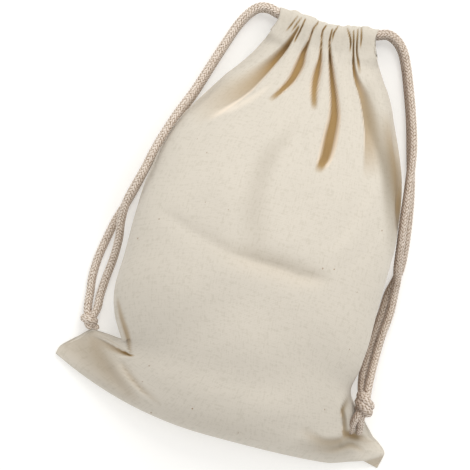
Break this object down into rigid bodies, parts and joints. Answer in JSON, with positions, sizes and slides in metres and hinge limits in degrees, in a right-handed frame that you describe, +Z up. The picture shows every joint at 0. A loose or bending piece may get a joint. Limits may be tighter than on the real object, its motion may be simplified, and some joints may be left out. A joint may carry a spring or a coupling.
{
  "type": "drawstring bag",
  "caption": "Soft cotton storage bag lying filled out on its back, its mouth gathered on drawcords that run down both sides to knots at the bottom corners.",
  "frame": {"origin": "bottom centre of the bag body's box, on the surface that the bag lies on", "axes": "+X across the bag to its right side, +Y from the bottom fold to the gathered mouth, +Z up from the surface"},
  "size_m": [0.243, 0.309, 0.0807],
  "materials": {
    "cotton_cloth": "plain-woven unbleached cotton, matt",
    "cotton_cord": "braided unbleached cotton cord, matt"
  },
  "bodies": {
    "root": {"bag_body": "cotton_cloth", "cord_front": "cotton_cord", "cord_back": "cotton_cord", "knot_left": "cotton_cord", "knot_right": "cotton_cord"}
  },
  "joints": []
}
